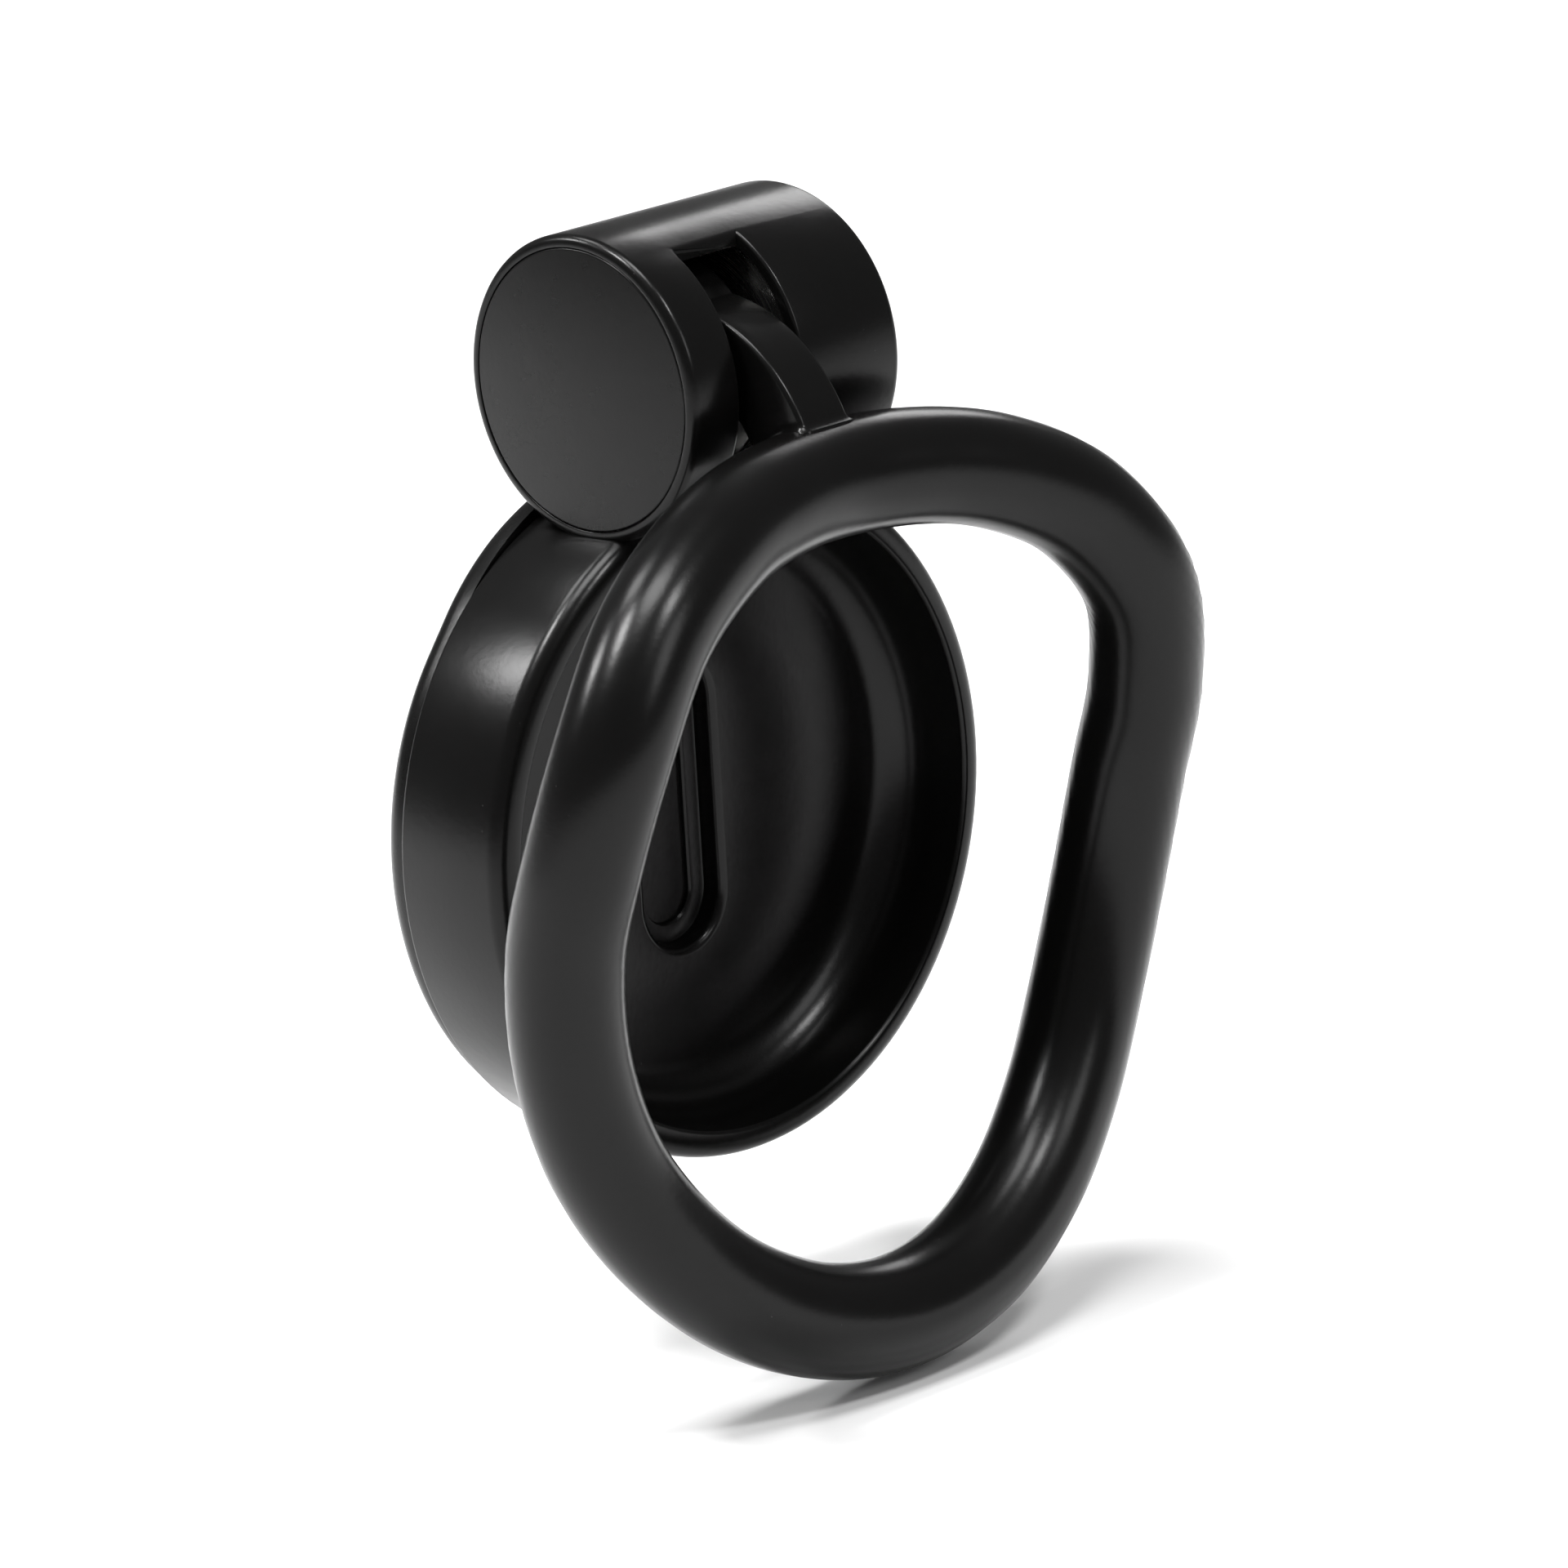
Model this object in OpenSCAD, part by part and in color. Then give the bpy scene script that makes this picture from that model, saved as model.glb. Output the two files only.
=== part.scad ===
// Locking ring assembly: a bowed bar ring whose flat tongue hooks into a cross barrel.
// The barrel has a key lock in one end and carries a shallow slotted dish below it.
// Millimetres, +Z up, +X towards the lock face, the ring on the -Y side of the dish.
// Origin: centre of the ring opening.

/* [Ring] */
// Nominal width of the ring opening
ring_size = 45; // [42:1:50]
// Diameter of the ring's round bar
ring_bar_d = 7.5; // [6.5:0.1:8]

/* [Tongue] */
// Thickness of the flat tongue
tongue_t = 4.2; // [3.6:0.1:4.6]
// Radius of the tongue's round end
tongue_end_r = 7.2; // [6.6:0.1:7.6]
// Outer radius of the curved arm between the round end and the ring
arm_r = 12; // [11.5:0.1:12.5]
// Width of that arm
arm_w = 5; // [4:0.1:5.5]

/* [Barrel] */
// Outer diameter of the barrel
barrel_d = 20; // [19.6:0.1:21]
// Length of the barrel
barrel_l = 19; // [18.5:0.1:20]
// Wall of the barrel tube
barrel_wall = 0.8; // [0.6:0.1:0.9]
// Width of the slot that the tongue enters
slot_w = 5.8; // [5.4:0.1:6]
// Length of barrel between the slot and the closed end
closed_l = 4.2; // [4:0.1:4.6]
// Distance from the barrel's axis to the back of the slot
slot_back = 4.7; // [4.2:0.1:5.2]

/* [Dish] */
// Outer diameter of the dish at its rim
dish_d = 44.8; // [43:0.2:46]
// Wall of the dish at its rim
dish_wall = 2; // [1.7:0.1:2.2]
// Inner depth of the dish
dish_depth = 6.3; // [5.5:0.1:7]
// Thickness of the dish floor
floor_t = 3.1; // [2.6:0.1:3.6]
// Length of the blind slot in the dish floor
window_l = 19.2; // [16:0.2:22]
// Width of that slot
window_w = 6.8; // [6:0.1:7.4]
// Depth of that slot
window_depth = 1.6; // [0.8:0.1:1.8]

/* [Cover] */
// Rise of the domed cover in front of the dish
cover_h = 3; // [2.6:0.1:4]

/* [Lock] */
// Diameter of the turning plug
plug_d = 10; // [9.6:0.1:10.4]
// How far the lock face stands out of the barrel
face_proud = 0.7; // [0.4:0.1:1]
// Diameter of the locking shaft that the tongue hooks over
shaft_d = 6; // [5.6:0.1:6]
// Thickness of the shaft between its two flats
shaft_flat = 4; // [3.6:0.1:4]

/* [Hidden] */
$fn = 96;
run = 0.05;                       // radial clearance of a running fit
eps = 0.01;                       // overlap of a cutter past a face

// Centre line of the ring's right half, top to bottom, for a 45 mm ring
ring_half = [[0, 1, 27.3], [7.4, 0.1, 26.9], [13.7, -1.3, 25.3], [19.6, -2.6, 21.9], [24.1, -3.3, 16],
             [25.9, -1.8, 9], [26, 0.2, 2.6], [24.8, 1.4, -4.7], [22.3, 1.6, -11.7],
             [18.6, 0.8, -17.6], [13.5, -0.3, -22.5], [7.1, -1.3, -25.8], [0, -1.6, -27]];
ring_k = ring_size / 45;
ring_bar_r = ring_bar_d / 2;
ring_sides = 16;
ring_steps = 4;                   // stations between two points of the centre line

// The barrel's axis, which is also the hinge of the ring and the axis of the lock
axis_y = 15;
axis_z = 27 * ring_k + 6;
barrel_r = barrel_d / 2;
bore_r = barrel_r - barrel_wall;
barrel_x0 = -slot_w / 2 - closed_l;
barrel_x1 = barrel_x0 + barrel_l;
barrel_edge = 0.7;                // rounding of the barrel's closed end

// The arm's arcs have their centre behind and below the barrel's axis
arm_y = -3.6;
arm_z = -6.8;
arm_turn = [98, 165];             // where the arm starts and ends, degrees up from +Y

dish_x = (barrel_x0 + barrel_x1) / 2;
dish_z = axis_z - 29.8;
dish_r = dish_d / 2;
rim_y = axis_y - 3.2;
floor_y = rim_y + dish_depth;
dish_h = dish_depth + floor_t;
seam_y = rim_y + dish_h;
rim_round = 1.4;
draft = 0.3;                      // the dish wall is this much thinner at the cover
floor_round = 2.6;
cover_r = dish_r - 0.8;
crown_r = dish_r - 2.9;           // smaller arc of the cover's outline, above its centre
crown_up = 3.4;
cover_edge = 3;                   // how far in the cover's edge curves over
groove_depth = 0.4;               // narrower groove in the slot's bottom, and its ledge's width
groove_ledge = 1.3;
window_lip = 0.6;                 // bevel of the slot's inner edge

plug_r = plug_d / 2;
shaft_r = shaft_d / 2;
mouth_w = shaft_flat + 0.2;
shell_x0 = slot_w / 2 + 0.4;
shell_x1 = barrel_x1 + face_proud;
shell_back = 1.6;                 // wall behind the plug
plug_x0 = shell_x0 + shell_back + 0.1;
plug_x1 = shell_x1 - 0.15;
socket_l = 1.2;                   // how deep the shaft sits in the plug
cap_x1 = barrel_x0 + closed_l - 0.5;
bearing_l = 2;

wafer_t = 0.8;
wafer_w = 6;
wafer_gap = 0.05;
wafer_pitch = 1.3;
wafer_x0 = plug_x0 + 2;
wafer_travel = 0.6;
wafer_cut = [0, 0.4, -0.2, 0.3];  // height of each wafer's key window
spring_y = 3.55;
spring_r = 0.28;
spring_wire = 0.07;
spring_z0 = 0.45;
spring_z1 = 2.05;
key_h = 5.6;
key_w = 1.5;

function unit(v) = v / norm(v);

// One Catmull-Rom stretch from b to c
function curve(a, b, c, d, t) =
    0.5 * (2 * b + (c - a) * t + (2 * a - 5 * b + 4 * c - d) * t * t
           + (3 * b - a - 3 * c + d) * t * t * t);

// Smooth closed line through points, with n stations between neighbours
function closed_line(p, n) =
    [for (i = [0 : len(p) - 1]) for (j = [0 : n - 1])
        curve(p[(i + len(p) - 1) % len(p)], p[i], p[(i + 1) % len(p)], p[(i + 2) % len(p)], j / n)];

// Round bar swept along a line; side is a direction that the line never follows
module bar(line, r, sides, side, closed) {
    n = len(line);
    ahead = [for (i = [0 : n - 1]) closed ? line[(i + 1) % n] : line[min(i + 1, n - 1)]];
    behind = [for (i = [0 : n - 1]) closed ? line[(i + n - 1) % n] : line[max(i - 1, 0)]];
    dirs = [for (i = [0 : n - 1]) unit(ahead[i] - behind[i])];
    us = [for (d = dirs) unit(cross(d, side))];
    points = [for (i = [0 : n - 1]) for (s = [0 : sides - 1])
        line[i] + r * (cos(360 * s / sides) * us[i] + sin(360 * s / sides) * cross(dirs[i], us[i]))];
    rows = closed ? n : n - 1;
    skin = [for (i = [0 : rows - 1]) for (s = [0 : sides - 1])
        [i * sides + s, i * sides + (s + 1) % sides,
         ((i + 1) % n) * sides + (s + 1) % sides, ((i + 1) % n) * sides + s]];
    ends = closed ? [] : [[for (s = [sides - 1 : -1 : 0]) s],
                          [for (s = [0 : sides - 1]) (n - 1) * sides + s]];
    polyhedron(points, concat(skin, ends));
}

// Moves a part drawn round the X axis onto the barrel's axis
module on_axis(x) {
    translate([x, axis_y, axis_z]) children();
}

// Cylinder along X from x0 to x1, on the barrel's axis
module round_x(x0, x1, r) {
    on_axis(x0) rotate([0, 90, 0]) cylinder(h = x1 - x0, r = r);
}

// Box on the barrel's axis: y and z measured from that axis
module box_x(x0, x1, y0, y1, z0, z1) {
    translate([x0, axis_y + y0, axis_z + z0]) cube([x1 - x0, y1 - y0, z1 - z0]);
}

// Turns a profile of radius and depth into a solid round the dish's axis, depth along +Y
module dish_turned() {
    translate([dish_x, 0, dish_z]) rotate([90, 0, 0]) mirror([0, 0, 1]) rotate_extrude() children();
}

// Upright slot with round ends, centred on the dish, from y0 to y1
module window(w, l, y0, y1) {
    reach = (l - w) / 2;
    translate([dish_x, y0, dish_z]) rotate([-90, 0, 0]) {
        translate([-w / 2, -reach, 0]) cube([w, 2 * reach, y1 - y0]);
        for (s = [-1, 1]) translate([0, s * reach, 0]) cylinder(h = y1 - y0, d = w);
    }
}

// The barrel's outline, cut out of what is joined to it
module barrel_room() {
    round_x(barrel_x0, barrel_x1, barrel_r);
}

module base_ring() {
    mirrored = [for (i = [len(ring_half) - 2 : -1 : 1])
        [-ring_half[i][0], ring_half[i][1], ring_half[i][2]]];
    whole = [for (p = concat(ring_half, mirrored)) [ring_k * p[0], p[1], ring_k * p[2]]];
    color([0.05, 0.05, 0.055]) bar(closed_line(whole, ring_steps), ring_bar_r, ring_sides, [0, 1, 0], true);
}

module ring_tongue() {
    wedge = [for (a = arm_turn) [2 * arm_r * cos(a), 2 * arm_r * sin(a)]];
    color([0.06, 0.06, 0.065]) difference() {
        union() {
            round_x(-tongue_t / 2, tongue_t / 2, tongue_end_r);
            on_axis(-tongue_t / 2) translate([0, arm_y, arm_z]) rotate([90, 0, 90]) intersection() {
                difference() {
                    cylinder(h = tongue_t, r = arm_r);
                    translate([0, 0, -eps]) cylinder(h = tongue_t + 2 * eps, r = arm_r - arm_w);
                }
                linear_extrude(tongue_t) polygon([[0, 0], wedge[0], [-arm_r, 2 * arm_r], wedge[1]]);
            }
        }
        round_x(-tongue_t, tongue_t, shaft_r + run);
        box_x(-tongue_t, tongue_t, 0, 2 * tongue_end_r, -mouth_w / 2, mouth_w / 2);
    }
}

module lock_barrel() {
    color([0.05, 0.05, 0.055]) difference() {
        on_axis(0) rotate([0, 90, 0]) rotate_extrude() difference() {
            translate([bore_r, barrel_x0]) square([barrel_wall, barrel_l]);
            for (end = [[barrel_x0, 1], [barrel_x1, -1]]) difference() {
                translate([barrel_r - barrel_edge, end[0] - (end[1] < 0 ? barrel_edge : 0)])
                    square([barrel_edge + eps, barrel_edge]);
                translate([barrel_r - barrel_edge, end[0] + end[1] * barrel_edge]) circle(r = barrel_edge);
            }
        }
        box_x(-slot_w / 2, slot_w / 2, -2 * barrel_r, -slot_back, -barrel_r - 1, barrel_r + 1);
    }
}

module end_cap() {
    color([0.07, 0.065, 0.06]) difference() {
        round_x(barrel_x0, cap_x1, bore_r);
        round_x(cap_x1 - bearing_l, cap_x1 + eps, shaft_r + run);
    }
}

module slotted_dish() {
    inner_r = dish_r - dish_wall;
    color([0.05, 0.05, 0.055]) difference() {
        dish_turned() difference() {
            union() {
                polygon([[0, rim_y + rim_round], [dish_r, rim_y + rim_round], [dish_r - draft, seam_y],
                         [0, seam_y]]);
                translate([0, rim_y]) square([dish_r - rim_round, rim_round + eps]);
                translate([dish_r - rim_round, rim_y + rim_round]) circle(r = rim_round);
            }
            translate([-1, rim_y - 1]) square([inner_r + 1, 1 + dish_depth - floor_round]);
            translate([-1, rim_y]) square([inner_r - floor_round + 1, dish_depth]);
            translate([inner_r - floor_round, floor_y - floor_round]) circle(r = floor_round);
            translate([-1, floor_y + floor_t]) square([inner_r + 1, dish_h]);
        }
        window(window_w, window_l, rim_y, floor_y + window_depth);
        window(window_w - 2 * groove_ledge, window_l - 2 * groove_ledge, rim_y,
               floor_y + window_depth + groove_depth);
        window_flare();
        barrel_room();
    }
}

// Bevel round the slot's inner edge
module window_flare() {
    reach = (window_l - window_w) / 2;
    half = window_w / 2;
    translate([dish_x, floor_y - eps, dish_z]) rotate([-90, 0, 0]) for (s = [-1, 1])
        translate([0, s * reach, 0]) cylinder(h = window_lip, r1 = half + window_lip, r2 = half);
    translate([dish_x, floor_y - eps, dish_z - reach]) linear_extrude(2 * reach)
        polygon([[-half - window_lip, 0], [half + window_lip, 0], [half, window_lip], [-half, window_lip]]);
}

// Disc whose front edge curves over, lying on the dish's back
module cover_disc(r) {
    dish_turned() intersection() {
        translate([0, seam_y]) square([r, cover_h]);
        union() {
            translate([0, seam_y]) square([r - cover_edge, cover_h]);
            translate([r - cover_edge, seam_y]) scale(cover_edge) circle(r = 1);
        }
    }
}

module front_cover() {
    color([0.05, 0.05, 0.055]) difference() {
        union() {
            cover_disc(cover_r);
            translate([0, 0, crown_up]) cover_disc(crown_r);
        }
        barrel_room();
    }
}

module lock_shell() {
    chamfer = 0.35;
    groove_r = plug_r + wafer_travel + 0.25;
    groove_w = wafer_w + 0.4;
    groove_x0 = wafer_x0 - wafer_pitch / 2;
    groove_x1 = wafer_x0 + 3.5 * wafer_pitch;
    color([0.72, 0.71, 0.68]) difference() {
        union() {
            round_x(shell_x0, shell_x1 - chamfer, bore_r);
            on_axis(shell_x1 - chamfer) rotate([0, 90, 0])
                cylinder(h = chamfer, r1 = bore_r, r2 = bore_r - chamfer);
        }
        round_x(plug_x0 - 0.1, shell_x1 + 1, plug_r + run);
        round_x(shell_x0 - 1, plug_x0, shaft_r + run);
        box_x(groove_x0, groove_x1, -groove_w / 2, groove_w / 2, -groove_r, 0);
        box_x(groove_x0, groove_x1, 0, groove_r, -groove_w / 2, groove_w / 2);
    }
}

// Room for a wafer, its side lug and its spring
module wafer_room(x) {
    half = wafer_t / 2 + wafer_gap;
    box_x(x - half, x + half, -wafer_w / 2 - wafer_gap, wafer_w / 2 + wafer_gap, -plug_r - 1, plug_r + 1);
    box_x(x - half, x + half, 0, 4.1, -spring_z0 - wafer_travel - 0.1, spring_z1);
}

module key_plug() {
    color([0.7, 0.69, 0.66]) difference() {
        round_x(plug_x0, plug_x1, plug_r);
        round_x(plug_x0 - 1, plug_x0 + socket_l, shaft_r);
        box_x(wafer_x0 - wafer_t, plug_x1 + 1, -key_w / 2, key_w / 2, -key_h / 2, key_h / 2);
        box_x(wafer_x0 - wafer_t, plug_x1 + 1, 0, key_w / 2 + 0.35, -1.3, -0.4);
        for (i = [0 : 3]) wafer_room(wafer_x0 + i * wafer_pitch);
        shaft_pin_hole();
    }
}

module shaft_pin_hole() {
    on_axis(plug_x0 + 0.6) rotate([90, 0, 0]) cylinder(h = 2 * plug_r - 0.6, r = 0.4, center = true);
}

module shaft_pin() {
    color([0.6, 0.6, 0.62]) shaft_pin_hole();
}

module locking_shaft() {
    nose_x = cap_x1 - bearing_l + 0.2;
    flat_x = tongue_t / 2 + 0.3;
    color([0.6, 0.6, 0.62]) difference() {
        round_x(nose_x, plug_x0 + socket_l, shaft_r);
        for (s = [-1, 1])
            box_x(-flat_x, flat_x, s > 0 ? shaft_flat / 2 : -shaft_r - 1,
                  s > 0 ? shaft_r + 1 : -shaft_flat / 2, -shaft_r - 1, shaft_r + 1);
        shaft_pin_hole();
        clip_groove();
    }
}

module clip_groove() {
    x = shell_x0 - 0.35;
    difference() {
        round_x(x - 0.3, x + 0.3, shaft_r + 1);
        round_x(x - 0.4, x + 0.4, shaft_r - 0.5);
    }
}

module plug_clip() {
    x = shell_x0 - 0.35;
    color([0.45, 0.45, 0.47]) difference() {
        round_x(x - 0.25, x + 0.25, shaft_r + 1.1);
        round_x(x - 1, x + 1, shaft_r - 0.45);
        box_x(x - 1, x + 1, -1.6, 1.6, 0, shaft_r + 2);
    }
}

module wafer(i) {
    x = wafer_x0 + (i - 1) * wafer_pitch;
    mid = wafer_cut[i - 1];
    color([0.75, 0.6, 0.3]) difference() {
        union() {
            intersection() {
                round_x(x - wafer_t / 2, x + wafer_t / 2, plug_r - 0.02);
                box_x(x - wafer_t / 2, x + wafer_t / 2, -wafer_w / 2, wafer_w / 2, -plug_r, plug_r);
            }
            box_x(x - wafer_t / 2, x + wafer_t / 2, wafer_w / 2 - eps, 4, -spring_z0, spring_z0 - 0.05);
        }
        box_x(x - wafer_t, x + wafer_t, -key_w / 2 - 0.25, key_w / 2 + 0.45,
              mid - key_h / 2 + 0.5, mid + key_h / 2 - 0.5);
    }
}

module wafer_spring(i) {
    x = wafer_x0 + (i - 1) * wafer_pitch;
    turns = 3.5;
    steps = 8;
    z0 = spring_z0 + spring_wire;
    rise = spring_z1 - spring_wire - z0;
    line = [for (k = [0 : turns * steps])
        [spring_r * cos(360 * k / steps), spring_r * sin(360 * k / steps), z0 + rise * k / (turns * steps)]];
    color([0.8, 0.8, 0.82]) on_axis(x) translate([0, spring_y, 0]) bar(line, spring_wire, 6, [0, 0, 1], false);
}

base_ring();
ring_tongue();
lock_barrel();
end_cap();
slotted_dish();
front_cover();
lock_shell();
key_plug();
locking_shaft();
shaft_pin();
plug_clip();
wafer(1);  // wafer_1
wafer(2);  // wafer_2
wafer(3);  // wafer_3
wafer(4);  // wafer_4
wafer_spring(1);  // wafer_spring_1
wafer_spring(2);  // wafer_spring_2
wafer_spring(3);  // wafer_spring_3
wafer_spring(4);  // wafer_spring_4
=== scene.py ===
import math

import bmesh
import bpy
from mathutils import Matrix, Vector
from mathutils.kdtree import KDTree


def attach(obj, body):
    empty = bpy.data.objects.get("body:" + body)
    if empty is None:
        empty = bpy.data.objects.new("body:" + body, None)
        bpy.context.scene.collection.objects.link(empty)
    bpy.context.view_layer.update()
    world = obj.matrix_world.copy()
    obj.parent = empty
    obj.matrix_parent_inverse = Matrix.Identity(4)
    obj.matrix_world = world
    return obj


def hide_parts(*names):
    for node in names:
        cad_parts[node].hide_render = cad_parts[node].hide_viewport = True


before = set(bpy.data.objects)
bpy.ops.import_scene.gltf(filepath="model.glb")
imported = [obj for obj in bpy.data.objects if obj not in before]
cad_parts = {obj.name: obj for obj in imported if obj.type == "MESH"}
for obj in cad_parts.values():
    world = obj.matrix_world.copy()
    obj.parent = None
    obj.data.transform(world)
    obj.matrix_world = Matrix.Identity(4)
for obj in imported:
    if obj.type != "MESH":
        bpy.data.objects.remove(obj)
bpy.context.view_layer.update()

mm = 0.001
pivot = Vector((0, 15, 33))  # the barrel's axis runs along X through here, in mm


# shader maths: a socket that adds Math nodes when it is used in an expression
class Wire:
    def __init__(self, shader, socket):
        self.shader, self.socket = shader, socket

    def make(self, operation, first, second):
        return self.shader.node("ShaderNodeMath", {"operation": operation}, {0: first, 1: second})

    def __add__(self, other):
        return self.make("ADD", self, other)

    def __sub__(self, other):
        return self.make("SUBTRACT", self, other)

    def __mul__(self, other):
        return self.make("MULTIPLY", self, other)


class Shader:
    def __init__(self, name):
        self.material = bpy.data.materials.new(name)
        self.material.use_nodes = True
        self.tree = self.material.node_tree
        self.surface = next(n for n in self.tree.nodes if n.type == "BSDF_PRINCIPLED")

    def link(self, socket, value):
        if isinstance(value, Wire):
            self.tree.links.new(value.socket, socket)
        else:
            socket.default_value = value

    def node(self, kind, settings=None, inputs=None, output=0):
        made = self.tree.nodes.new(kind)
        for key, value in (settings or {}).items():
            if key == "stops":
                ramp = made.color_ramp
                while len(ramp.elements) < len(value):
                    ramp.elements.new(1)
                for element, (place, shade) in zip(ramp.elements, value):
                    element.position = place
                    element.color = (shade, shade, shade, 1)
            else:
                setattr(made, key, value)
        for key, value in (inputs or {}).items():
            self.link(made.inputs[key], value)
        return Wire(self, made.outputs[output])

    def place(self):
        return self.node("ShaderNodeTexCoord", output="Object")

    def noise(self, where, size, detail=2.0, rough=0.5):
        return self.node("ShaderNodeTexNoise", {},
                         {"Vector": where, "Scale": 1 / (size * mm), "Detail": detail, "Roughness": rough})

    def ramp(self, value, *stops):
        return self.node("ShaderNodeValToRGB", {"stops": stops}, {0: value})

    def blend(self, amount, first, second):
        colours = {0: amount, 6: first, 7: second}
        return self.node("ShaderNodeMix", {"data_type": "RGBA"}, colours, output=2)

    def bump(self, height, strength, distance, below=None):
        inputs = {"Strength": strength, "Distance": distance * mm, "Height": height}
        if below:
            inputs["Normal"] = below
        return self.node("ShaderNodeBump", {}, inputs)

    def finish(self, **sockets):
        for name, value in sockets.items():
            self.link(self.surface.inputs[name.replace("_", " ")], value)
        return self.material


def grey(shade, warm=0.0):
    return (shade * (1 + warm), shade, shade * (1 - warm), 1)


# satin black coating: fine orange peel, slight clouding of the gloss, a few dust specks
blackLook = {
    "shade": 0.0025, "warm": 0.02, "clouding": 0.07, "cloudSize": 7, "smearSize": 1.6, "specular": 0.19,
    "peelSize": 0.55, "peelDepth": 0.012, "waveSize": 5, "waveDepth": 0.03,
    "dustSize": 1.1, "dustShade": 0.05, "dustPatch": 4,
}


def satinBlack(name, **changes):
    look = dict(blackLook, **changes)
    s = Shader(name)
    where = s.place()
    cloud = s.noise(where, look["cloudSize"], 4, 0.6)
    smear = s.noise(where, look["smearSize"], 3, 0.55)
    peel = s.noise(where, look["peelSize"], 3, 0.6)
    wave = s.noise(where, look["waveSize"], 1)
    cells = s.node("ShaderNodeTexVoronoi", {"feature": "F1"},
                   {"Vector": where, "Scale": 1 / (look["dustSize"] * mm), "Randomness": 1.0})
    rare = s.ramp(s.noise(where, look["dustPatch"], 0), (0.60, 0.0), (0.68, 1.0))
    dust = s.ramp(cells, (0.0, 1.0), (0.055, 0.0)) * rare
    shade = s.blend(dust, grey(look["shade"], look["warm"]), grey(look["dustShade"], look["warm"]))
    gloss = (cloud - 0.5) * look["clouding"] + (smear - 0.5) * (look["clouding"] * 0.6) + look["gloss"]
    form = s.bump(wave, 0.5, look["waveDepth"])
    relief = s.bump(peel, 0.55, look["peelDepth"], form)
    return s.finish(Base_Color=shade, Roughness=gloss, Normal=relief,
                    Specular_IOR_Level=look["specular"])


# plated and plain metals; ringed means turning marks round the barrel's axis
metalLook = {"ringDensity": 9.0, "stainSize": 3.5, "stained": 0.82, "markDepth": 0.01}


def metal(name, shade, roughness, ringed=False, grain=0.25, tint=(1, 1, 1)):
    s = Shader(name)
    where = s.place()
    if ringed:
        offset = s.node("ShaderNodeVectorMath", {"operation": "SUBTRACT"}, {0: where, 1: pivot * mm})
        flat = s.node("ShaderNodeVectorMath", {"operation": "MULTIPLY"}, {0: offset, 1: (0, 1, 1)})
        radius = s.node("ShaderNodeVectorMath", {"operation": "LENGTH"}, {0: flat}, output=1)
        marks = s.node("ShaderNodeTexNoise", {"noise_dimensions": "1D"},
                       {"W": radius * (1 / mm), "Scale": metalLook["ringDensity"], "Detail": 4.0})
    else:
        marks = s.noise(where, grain, 3)
    stain = s.noise(where, metalLook["stainSize"], 3, 0.6)
    low = [shade * metalLook["stained"] * c for c in tint] + [1]
    high = [shade * c for c in tint] + [1]
    colour = s.blend(s.ramp(stain, (0.3, 0.0), (0.7, 1.0)), low, high)
    rough = (marks - 0.5) * 0.22 + (stain - 0.5) * 0.1 + roughness
    relief = s.bump(marks, 0.35, metalLook["markDepth"])
    return s.finish(Base_Color=colour, Metallic=1.0, Roughness=rough, Normal=relief)


ringBlack = satinBlack("satin black bar", gloss=0.25)
bodyBlack = satinBlack("satin black body", gloss=0.24)
insertBlack = satinBlack("satin black insert", gloss=0.28, shade=0.003, peelSize=0.4)
coverBlack = satinBlack("satin black cover", gloss=0.27)
nickel = metal("satin nickel", 0.62, 0.27, ringed=True, tint=(1, 0.985, 0.95))
steel = metal("machined steel", 0.5, 0.34, ringed=True)
brass = metal("stamped brass", 0.8, 0.36, tint=(1, 0.76, 0.4))
wireSteel = metal("spring wire", 0.6, 0.3, grain=0.1)
print("materials made")


# pieces
def at(x, y, z):
    return Vector((x, y, z)) * mm


def show(name, bm, material, body, replaced, sharp=40):
    bmesh.ops.recalc_face_normals(bm, faces=bm.faces)
    mesh = bpy.data.meshes.new(name)
    bm.to_mesh(mesh)
    bm.free()
    mesh.materials.append(material)
    mesh.shade_smooth()
    mesh.set_sharp_from_angle(angle=math.radians(sharp))
    piece = bpy.data.objects.new(name, mesh)
    bpy.context.scene.collection.objects.link(piece)
    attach(piece, body)
    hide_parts(*replaced)


def outline(bm, corners):
    # corners: (place, rounding); a rounded corner becomes an arc
    made = [bm.verts.new(place) for place, rounding in corners]
    bm.faces.new(made)
    for corner, (place, rounding) in zip(made, corners):
        if rounding:
            parts = max(3, round(6 * rounding ** 0.5) + 1)
            bmesh.ops.bevel(bm, geom=[corner], offset=rounding * mm, segments=parts, profile=0.5,
                            affect="VERTICES", material=-1)
    bmesh.ops.delete(bm, geom=list(bm.faces), context="FACES_ONLY")


def turn(bm, centre, axis, steps):
    bmesh.ops.spin(bm, geom=list(bm.verts) + list(bm.edges), cent=centre, axis=axis, angle=2 * math.pi,
                   steps=steps, use_merge=True)
    bmesh.ops.remove_doubles(bm, verts=bm.verts, dist=1e-7)


def aroundBarrel(bm, corners, steps=160):
    # corners: (x, radius, rounding) in mm
    outline(bm, [(at(x, pivot.y, pivot.z + r), rounding) for x, r, rounding in corners])
    turn(bm, pivot * mm, (1, 0, 0), steps)


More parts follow.
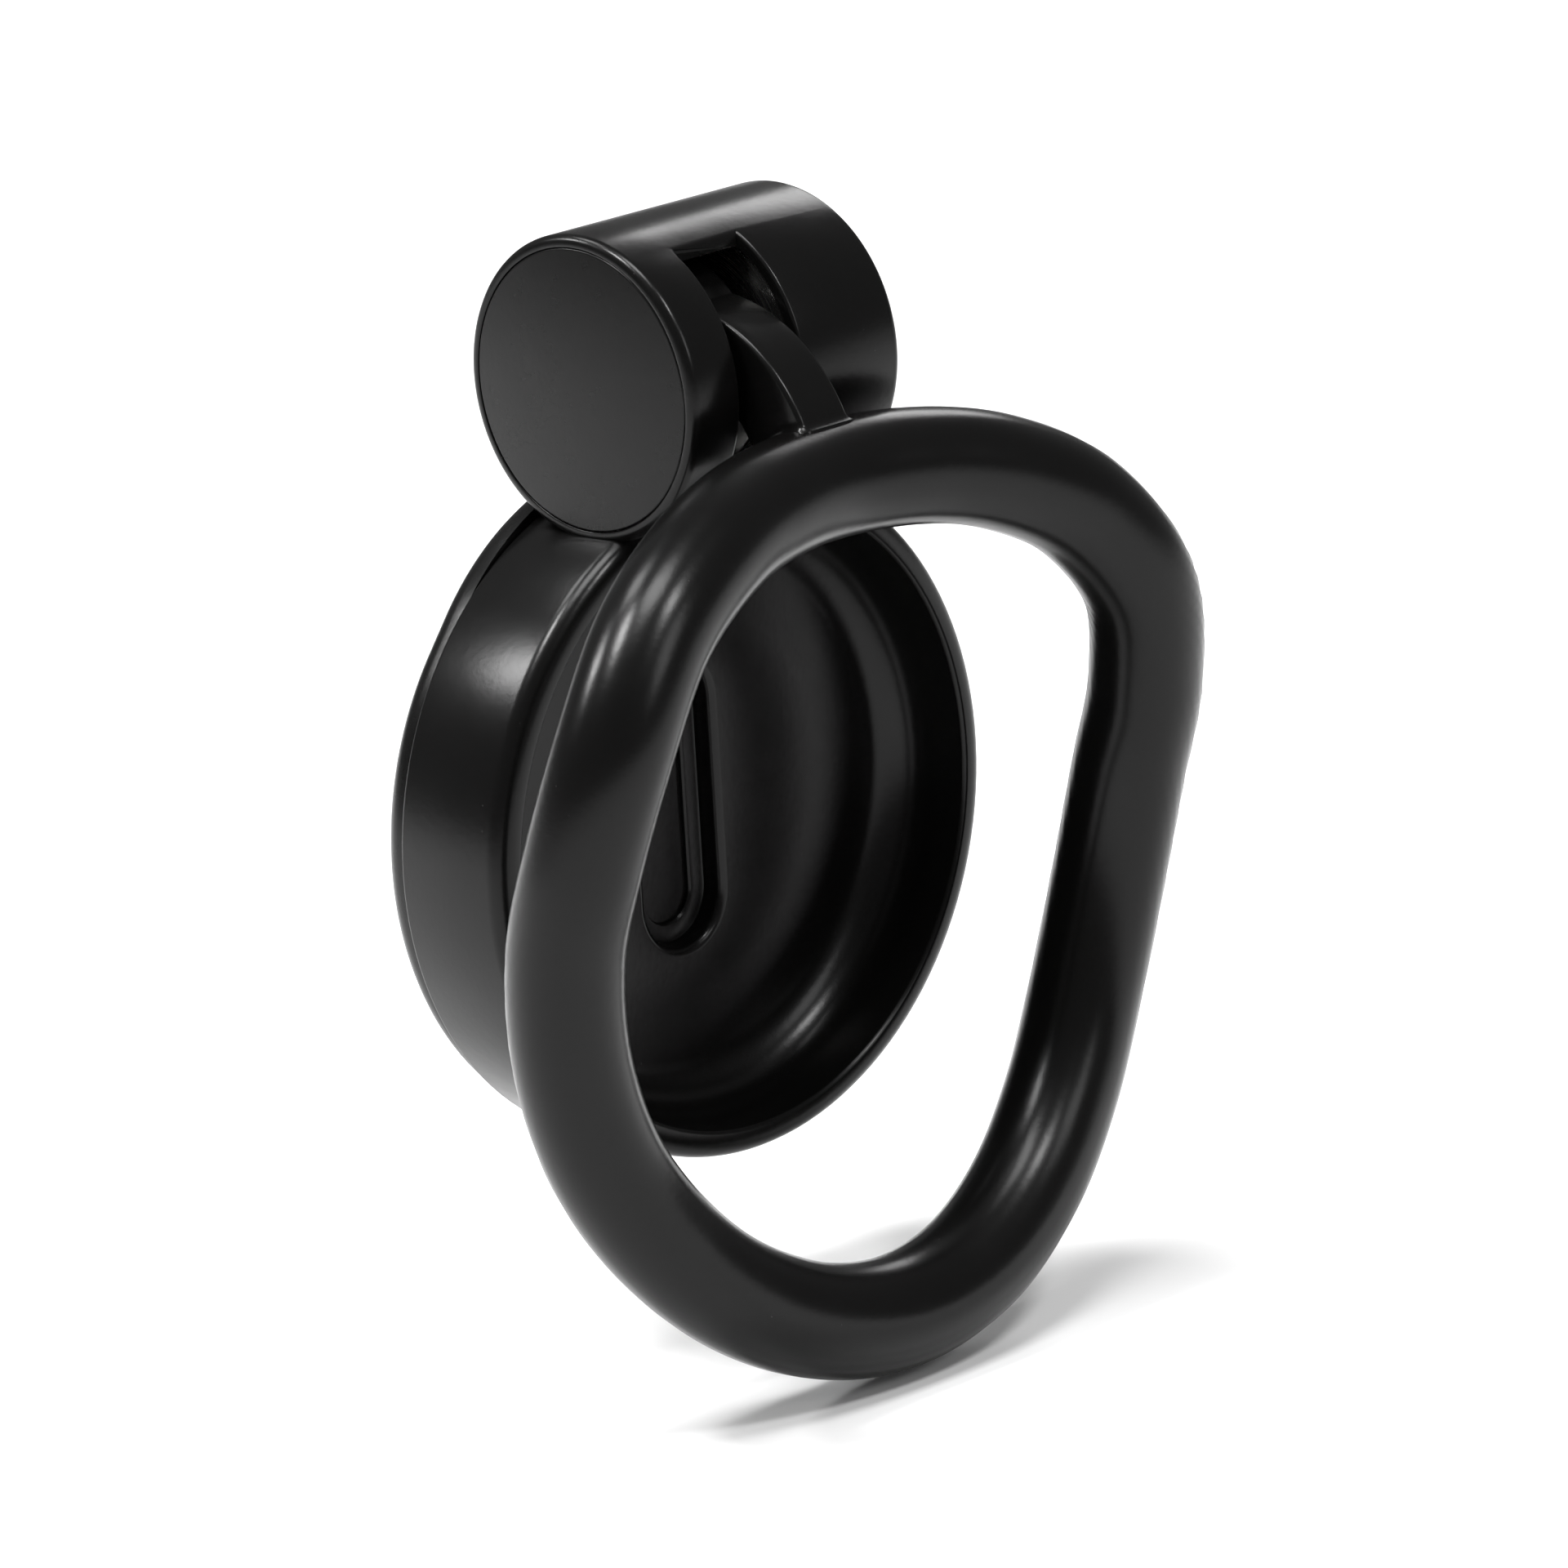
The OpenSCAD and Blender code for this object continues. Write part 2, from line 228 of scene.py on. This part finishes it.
def carve(bm, *cutters):
    # the piece less the cutters, as a new bmesh
    made = []
    for source in (bm, *cutters):
        bmesh.ops.recalc_face_normals(source, faces=source.faces)
        mesh = bpy.data.meshes.new("carved")
        source.to_mesh(mesh)
        source.free()
        made.append(bpy.data.objects.new("carved", mesh))
        bpy.context.scene.collection.objects.link(made[-1])
    for cutter in made[1:]:
        change = made[0].modifiers.new("cut", "BOOLEAN")
        change.operation, change.solver, change.object = "DIFFERENCE", "EXACT", cutter
    ready = made[0].evaluated_get(bpy.context.evaluated_depsgraph_get())
    result = bmesh.new()
    result.from_mesh(ready.to_mesh())
    for piece in made:
        bpy.data.meshes.remove(piece.data)
    bmesh.ops.remove_doubles(result, verts=result.verts, dist=2e-6)
    bmesh.ops.dissolve_degenerate(result, edges=result.edges, dist=2e-6)
    return result


# ring: one smooth bar through the points of its centre line
ringShape = {
    "bar": 3.75, "between": 12, "around": 10,
    "half": [(0, 1, 27.3), (7.4, 0.1, 26.9), (13.7, -1.3, 25.3), (19.6, -2.6, 21.9), (24.1, -3.3, 16),
             (25.9, -1.8, 9), (26, 0.2, 2.6), (24.8, 1.4, -4.7), (22.3, 1.6, -11.7), (18.6, 0.8, -17.6),
             (13.5, -0.3, -22.5), (7.1, -1.3, -25.8), (0, -1.6, -27)],
}


def ringLine():
    half = [Vector(p) for p in ringShape["half"]]
    return half + [Vector((-p.x, p.y, p.z)) for p in reversed(half[1:-1])]


def ringCurve():
    points = ringLine()
    curve = bpy.data.curves.new("bar", "CURVE")
    curve.dimensions = "3D"
    curve.resolution_u = ringShape["between"]
    curve.bevel_depth = ringShape["bar"] * mm
    curve.bevel_resolution = ringShape["around"]
    curve.twist_mode = "Z_UP"
    line = curve.splines.new("BEZIER")
    line.bezier_points.add(len(points) - 1)
    line.use_cyclic_u = True
    for i, knot in enumerate(line.bezier_points):
        lean = (points[(i + 1) % len(points)] - points[i - 1]) / 6
        knot.handle_left_type = knot.handle_right_type = "FREE"
        knot.co = points[i] * mm
        knot.handle_left = (points[i] - lean) * mm
        knot.handle_right = (points[i] + lean) * mm
    return curve


def makeRing():
    curve = ringCurve()
    holder = bpy.data.objects.new("bar", curve)
    bpy.context.scene.collection.objects.link(holder)
    mesh = holder.evaluated_get(bpy.context.evaluated_depsgraph_get()).to_mesh()
    bm = bmesh.new()
    bm.from_mesh(mesh)
    bpy.data.objects.remove(holder)
    bmesh.ops.remove_doubles(bm, verts=bm.verts, dist=1e-6)
    show("contouredRing", bm, ringBlack, "ring", ["base_ring"], 80)


def centreTree():
    # a search tree of points along the ring's centre line
    points = ringLine()
    count = len(points)
    fine = []
    for i in range(count):
        a, b, c, d = (points[(i + k - 1) % count] for k in range(4))
        for j in range(24):
            t = j / 24
            fine.append(0.5 * (2 * b + (c - a) * t + (2 * a - 5 * b + 4 * c - d) * t * t
                               + (3 * b - a - 3 * c + d) * t ** 3))
    tree = KDTree(len(fine))
    for i, p in enumerate(fine):
        tree.insert(p, i)
    tree.balance()
    return tree


# tongue: flat arm bent round an arc, with a round end on the locking shaft
tongueShape = {"thick": 4.2, "disc": 7.2, "hole": 3.1, "edge": 0.35, "arcY": -3.6, "arcZ": -6.8, "outer": 12,
               "wide": 5, "from": 93, "to": 168, "bends": 60, "foot": 0.35}


def makeTongue():
    t = tongueShape
    half = t["thick"] / 2
    centre = pivot + Vector((0, t["arcY"], t["arcZ"]))
    arm = bmesh.new()
    inner = t["outer"] - t["wide"]
    section = [(at(x, centre.y + r, centre.z), t["edge"])
               for x, r in ((-half, inner), (half, inner), (half, t["outer"]), (-half, t["outer"]))]
    outline(arm, section)
    cross = bmesh.ops.edgenet_fill(arm, edges=list(arm.edges))["faces"]
    bmesh.ops.rotate(arm, verts=arm.verts, cent=centre * mm,
                     matrix=Matrix.Rotation(math.radians(t["from"]), 3, "X"))
    bmesh.ops.spin(arm, geom=list(cross), cent=centre * mm, axis=(1, 0, 0),
                   angle=math.radians(t["to"] - t["from"]), steps=t["bends"], use_duplicate=False)
    # the foot widens as it reaches the bar
    bmesh.ops.recalc_face_normals(arm, faces=arm.faces)
    long = [e for e in arm.edges if e.calc_length() > 0.9 * mm]
    bmesh.ops.subdivide_edges(arm, edges=long, cuts=5, use_grid_fill=True)
    arm.normal_update()
    tree = centreTree()
    foot = t["foot"]
    for v in arm.verts:
        gap = tree.find(v.co / mm)[2] - ringShape["bar"]
        share = min(1, max(0, 1 - gap / foot))
        if share:
            v.co += v.normal * foot * mm * (1 - math.sqrt(max(0, 1 - share * share)))
    end = bmesh.new()
    aroundBarrel(end, [(-half, t["hole"], 0), (half, t["hole"], 0), (half, t["disc"], t["edge"]),
                       (-half, t["disc"], t["edge"])], 96)
    spare = bpy.data.meshes.new("spare")
    end.to_mesh(spare)
    end.free()
    arm.from_mesh(spare)
    bpy.data.meshes.remove(spare)
    show("hookTongue", arm, ringBlack, "ring", ["ring_tongue"])


# barrel: thin tube with rounded ends and a slot for the tongue
barrelShape = {"left": -7.1, "right": 11.9, "radius": 10, "bore": 9.2, "round": 0.62, "boreEdge": 0.08,
               "slotHalf": 2.9, "slotBack": 4.7, "slotEdge": 0.24, "steps": 192}


def makeBarrel():
    b = barrelShape
    bm = bmesh.new()
    aroundBarrel(bm, [(b["left"], b["radius"], b["round"]), (b["right"], b["radius"], b["round"]),
                      (b["right"], b["bore"], b["boreEdge"]), (b["left"], b["bore"], b["boreEdge"])],
                 b["steps"])
    for x in (-b["slotHalf"], b["slotHalf"]):
        bmesh.ops.bisect_plane(bm, geom=bm.verts[:] + bm.edges[:] + bm.faces[:], dist=1e-7,
                               plane_co=at(x, 0, 0), plane_no=(1, 0, 0))
    back = pivot.y - b["slotBack"]
    bmesh.ops.bisect_plane(bm, geom=bm.verts[:] + bm.edges[:] + bm.faces[:], dist=1e-7,
                           plane_co=at(0, back, 0), plane_no=(0, 1, 0))
    gone = [f for f in bm.faces if abs(f.calc_center_median().x) < b["slotHalf"] * mm
            and f.calc_center_median().y < back * mm]
    bmesh.ops.delete(bm, geom=gone, context="FACES")
    rims = [e for e in bm.edges if e.is_boundary]
    walls = bmesh.ops.bridge_loops(bm, edges=rims)["faces"]
    bmesh.ops.recalc_face_normals(bm, faces=bm.faces)
    lips = [e for f in walls for e in f.edges
            if e in rims and sum((v.co - at(v.co.x / mm, pivot.y, pivot.z)).length for v in e.verts)
            > 2 * (b["radius"] - 0.05) * mm]
    bmesh.ops.bevel(bm, geom=list(set(lips)), offset=b["slotEdge"] * mm, segments=3, profile=0.5,
                    affect="EDGES", material=-1)
    show("lockBarrel", bm, bodyBlack, "cage", ["lock_barrel"], 38)


# closed end: a cap pressed into the bore, with a socket for the locking shaft
insertShape = {"fit": 0.03, "edge": 0.14, "innerEdge": 0.2, "long": 3.7, "socket": 3.05, "socketFrom": 1.7}


def makeInsert():
    b, i = barrelShape, insertShape
    left, radius = b["left"], b["bore"] - i["fit"]
    bm = bmesh.new()
    aroundBarrel(bm, [(left, 0, 0), (left, radius, i["edge"]), (left + i["long"], radius, i["innerEdge"]),
                      (left + i["long"], i["socket"], 0), (left + i["socketFrom"], i["socket"], 0),
                      (left + i["socketFrom"], 0, 0)])
    show("endInsert", bm, insertBlack, "cage", ["end_cap"], 38)


# open end: the lock's housing, whose face stands a little out of the barrel
lockFaceShape = {"start": 3.3, "fit": 0.03, "step": 0.2, "stands": 0.7, "rim": 0.3, "hole": 5.05,
                 "holeEdge": 0.12, "seat": 4.9, "shaftHole": 3.05, "backEdge": 0.2, "soft": 0.05}


def makeLockFace():
    b, f = barrelShape, lockFaceShape
    body, neck, face = b["bore"] - f["fit"], b["bore"] - f["step"], b["right"] + f["stands"]
    bm = bmesh.new()
    aroundBarrel(bm, [(f["start"], body, f["backEdge"]), (b["right"] - 0.1, body, f["soft"]),
                      (b["right"] + 0.02, neck, f["soft"]), (face, neck, f["rim"]),
                      (face, f["hole"], f["holeEdge"]), (f["seat"], f["hole"], 0),
                      (f["seat"], f["shaftHole"], 0), (f["start"], f["shaftHole"], 0)])
    show("lockFace", bm, nickel, "cage", ["lock_shell"], 38)


# dish: turned wall and floor, then a blind slot with a soft lip and a groove in its bottom
dishShape = {"x": 2.4, "z": 3.2, "radius": 22.4, "draft": 0.3, "inner": 20.4, "rim": 11.8, "floor": 18.1,
             "back": 21.2, "backRound": 0.3, "rimRound": 1.35, "crestRound": 0.35, "floorRound": 3.4, "hub": 13,
             "slotHalf": 3.4, "slotReach": 6.2, "lip": 0.65, "lipSteps": 6, "slotDepth": 1.6, "soft": 0.12,
             "grooveHalf": 2.1, "grooveDepth": 0.4, "steps": 128}


def aroundDish(v):
    return math.atan2(v.co.z - dishShape["z"] * mm, v.co.x - dishShape["x"] * mm)


def slotLoop(bm, half, y):
    # a circle pulled apart into a slot with round ends; its corners in order
    d = dishShape
    ring = bmesh.ops.create_circle(bm, segments=d["steps"], radius=half * mm,
                                   matrix=Matrix.Translation(at(d["x"], y, d["z"]))
                                   @ Matrix.Rotation(math.pi / 2, 4, "X")
                                   @ Matrix.Rotation(math.pi / d["steps"], 4, "Z"))["verts"]
    ring.sort(key=aroundDish)
    for sign in (-1, 1):
        part = [v for v in ring if (v.co.z - d["z"] * mm) * sign > 0]
        bmesh.ops.translate(bm, verts=part, vec=(0, 0, sign * d["slotReach"] * mm))
    return ring


def hubLoop(bm, y):
    # the open edge round the middle of the turned floor or back
    d = dishShape
    return [e for e in bm.edges if e.is_boundary
            and all(abs(v.co.y - y * mm) < 1e-6 and (v.co - at(d["x"], y, d["z"])).length > 10 * mm
                    for v in e.verts)]


def makeDish():
    d = dishShape
    bm = bmesh.new()
    path = [(d["hub"], d["floor"], 0), (d["inner"], d["floor"], d["floorRound"]),
            (d["inner"], d["rim"], d["crestRound"]), (d["radius"], d["rim"], d["rimRound"]),
            (d["radius"] - d["draft"], d["back"], d["backRound"]), (d["hub"], d["back"], 0)]
    outline(bm, [(at(d["x"] + r, y, d["z"]), rounding) for r, y, rounding in path])
    closing = [e for e in bm.edges if all(abs(v.co.x - (d["x"] + d["hub"]) * mm) < 1e-7 for v in e.verts)]
    bmesh.ops.delete(bm, geom=closing, context="EDGES")
    turn(bm, at(d["x"], 0, d["z"]), (0, 1, 0), d["steps"])
    front, back = hubLoop(bm, d["floor"]), hubLoop(bm, d["back"])
    steps, lip, soft = d["lipSteps"], d["lip"], d["soft"]
    bends = [math.pi / 2 * i / steps for i in range(steps + 1)]
    levels = [(d["slotHalf"] + lip * (1 - math.sin(a)), lip * (1 - math.cos(a))) for a in bends]
    ledge = d["slotDepth"]
    levels += [(d["slotHalf"], ledge - 2 * soft), (d["slotHalf"] - 0.6 * soft, ledge - 0.6 * soft),
               (d["slotHalf"] - 2 * soft, ledge), (d["grooveHalf"] + soft, ledge),
               (d["grooveHalf"], ledge + soft), (d["grooveHalf"], ledge + d["grooveDepth"])]
    last = sorted({v for e in front for v in e.verts}, key=aroundDish)
    for half, deep in levels:
        loop = slotLoop(bm, half, d["floor"] + deep)
        for k in range(len(loop)):
            bm.faces.new((last[k - 1], last[k], loop[k], loop[k - 1]))
        last = loop
    bm.faces.new(last)
    bmesh.ops.edgeloop_fill(bm, edges=back)
    bmesh.ops.recalc_face_normals(bm, faces=bm.faces)
    show("slottedDish", carve(bm, barrelCutter()), bodyBlack, "cage", ["slotted_dish"], 38)


def barrelCutter():
    # a shade smaller than the barrel, so that no gap shows against it
    b = barrelShape
    left, right, radius = b["left"] + 0.02, b["right"] - 0.02, b["radius"] - 0.05
    cutter = bmesh.new()
    aroundBarrel(cutter, [(left, 0, 0), (left, radius, b["round"]), (right, radius, b["round"]),
                          (right, 0, 0)])
    return cutter


# cover: a shallow dome, slightly egg-shaped towards the barrel
coverShape = {"radius": 21.6, "crown": 19.5, "crownUp": 3.4, "side": 0.7, "rise": 3.3, "curl": 4.5,
              "steps": 10, "around": 192}


def makeCover():
    c, d = coverShape, dishShape
    bm = bmesh.new()
    # sine of the level where the two arcs meet smoothly
    lean = (c["radius"] - c["crown"]) / c["crownUp"]
    ends = []
    for radius, up, above in ((c["radius"], 0, False), (c["crown"], c["crownUp"], True)):
        arc = bmesh.ops.create_circle(bm, segments=c["around"], radius=radius * mm,
                                      matrix=Matrix.Translation(at(d["x"], d["back"], d["z"] + up))
                                      @ Matrix.Rotation(math.pi / 2, 4, "X"))["verts"]
        level = (d["z"] + up + radius * lean) * mm
        bmesh.ops.delete(bm, geom=[v for v in arc if (v.co.z > level) != above], context="VERTS")
        left = [v for v in arc if v.is_valid and len(v.link_edges) == 1]
        ends.append(sorted(left, key=lambda v: v.co.x))
    for low, high in zip(*ends):
        bm.edges.new((low, high))
    bmesh.ops.edgenet_fill(bm, edges=list(bm.edges))
    lifted = bmesh.ops.extrude_face_region(bm, geom=list(bm.faces))["geom"]
    top = [g for g in lifted if isinstance(g, bmesh.types.BMFace)]
    bmesh.ops.translate(bm, verts=[v for f in top for v in f.verts], vec=(0, c["side"] * mm, 0))
    rise = c["rise"] - c["side"]
    for i in range(c["steps"]):
        a, b = (math.pi / 2 * k / c["steps"] for k in (i, i + 1))
        inset = c["curl"] * (math.cos(a) - math.cos(b))
        bmesh.ops.inset_region(bm, faces=top, thickness=inset * mm, use_even_offset=True)
        bmesh.ops.translate(bm, verts=list({v for f in top for v in f.verts}),
                            vec=(0, rise * (math.sin(b) - math.sin(a)) * mm, 0))
    bmesh.ops.holes_fill(bm, edges=[e for e in bm.edges if e.is_boundary])
    show("frontCover", carve(bm, barrelCutter()), coverBlack, "cage", ["front_cover"], 38)


makeRing()
makeTongue()
print("ring and tongue made")
makeBarrel()
makeInsert()
makeLockFace()
print("barrel made")
makeDish()
makeCover()
print("dish and cover made")

# lock parts keep their CAD shape
lockLooks = {"key_plug": nickel, "locking_shaft": steel, "shaft_pin": steel, "plug_clip": wireSteel}
for number in range(1, 5):
    lockLooks["wafer_%d" % number] = brass
    lockLooks["wafer_spring_%d" % number] = wireSteel
for name, look in lockLooks.items():
    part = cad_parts[name]
    part.data.materials.clear()
    part.data.materials.append(look)

# floor, lights and camera
studio = {"floor": 0.95, "floorZ": -31.2, "floorHalf": 6, "world": 0.2}


def makeStudio():
    bm = bmesh.new()
    bmesh.ops.create_grid(bm, x_segments=2, y_segments=2, size=studio["floorHalf"])
    bmesh.ops.translate(bm, verts=bm.verts, vec=(0, 0, studio["floorZ"] * mm))
    mesh = bpy.data.meshes.new("floor")
    bm.to_mesh(mesh)
    bm.free()
    s = Shader("pale floor")
    tone = s.noise(s.place(), 60, 2)
    low, high = grey(studio["floor"] - 0.01), grey(studio["floor"] + 0.01)
    surface = s.finish(Base_Color=s.blend(tone, low, high), Roughness=0.85, Specular_IOR_Level=0.2)
    mesh.materials.append(surface)
    floor = bpy.data.objects.new("floor", mesh)
    bpy.context.scene.collection.objects.link(floor)
    world = bpy.data.worlds.new("studio")
    bpy.context.scene.world = world
    world.use_nodes = True
    background = world.node_tree.nodes["Background"]
    background.inputs["Color"].default_value = (1, 1, 1, 1)
    background.inputs["Strength"].default_value = studio["world"]


# azimuth and elevation as for the camera, in degrees; power in watts; square lamps, side in mm
tent = {"azimuth": -60, "elevation": 84, "spread": 24, "power": 2.1}
lampDistance = 520
lights = {
    "left": {"azimuth": -116, "elevation": 60, "side": 90, "power": 1.7},
    "front": {"azimuth": 6, "elevation": 56, "side": 90, "power": 1.0},
    "low": {"azimuth": 12, "elevation": 30, "side": 150, "power": 0.35},
    "back": {"azimuth": -165, "elevation": 58, "side": 120, "power": 0.6},
    "right": {"azimuth": 120, "elevation": 32, "side": 140, "power": 0.35},
    "behind": {"azimuth": -146, "elevation": 37, "side": 80, "power": 0.85},
}
aim = Vector((3.345, 9.373, 5.583))


def direction(azimuth, elevation):
    a, e = math.radians(azimuth), math.radians(elevation)
    return Vector((math.sin(a) * math.cos(e), -math.cos(a) * math.cos(e), math.sin(e)))


def makeSun():
    # one even source overhead, as from the lit ceiling of a light tent
    sky = bpy.data.lights.new("tent", "SUN")
    sky.energy, sky.angle = tent["power"], math.radians(tent["spread"])
    holder = bpy.data.objects.new("tent", sky)
    away = direction(tent["azimuth"], tent["elevation"])
    holder.rotation_euler = away.to_track_quat("Z", "Y").to_euler()
    bpy.context.scene.collection.objects.link(holder)


def makeLights():
    for name, facts in lights.items():
        lamp = bpy.data.lights.new(name, "AREA")
        lamp.shape = "SQUARE"
        lamp.size = facts["side"] * mm
        lamp.energy = facts["power"]
        holder = bpy.data.objects.new(name, lamp)
        away = direction(facts["azimuth"], facts["elevation"])
        holder.location = (aim + away * lampDistance) * mm
        holder.rotation_euler = away.to_track_quat("Z", "Y").to_euler()
        bpy.context.scene.collection.objects.link(holder)


cameraPlace = {"azimuth": -45.32, "elevation": 15.11, "roll": -3.415, "distance": 662.6, "lens": 237.06}


def makeCamera():
    c = cameraPlace
    back = direction(c["azimuth"], c["elevation"])
    right = (-back).cross(Vector((0, 0, 1))).normalized()
    up = right.cross(-back)
    roll = math.radians(c["roll"])
    across = right * math.cos(roll) + up * math.sin(roll)
    upward = up * math.cos(roll) - right * math.sin(roll)
    view = bpy.data.cameras.new("camera")
    view.lens, view.sensor_width = c["lens"], 36
    view.clip_start, view.clip_end = 0.05, 20
    camera = bpy.data.objects.new("camera", view)
    turnBy = Matrix((across, upward, back)).transposed().to_4x4()
    camera.matrix_world = Matrix.Translation((aim + back * c["distance"]) * mm) @ turnBy
    bpy.context.scene.collection.objects.link(camera)
    bpy.context.scene.camera = camera


makeStudio()
makeSun()
makeLights()
bpy.context.scene.view_settings.view_transform = "Standard"
makeCamera()
print("studio made")
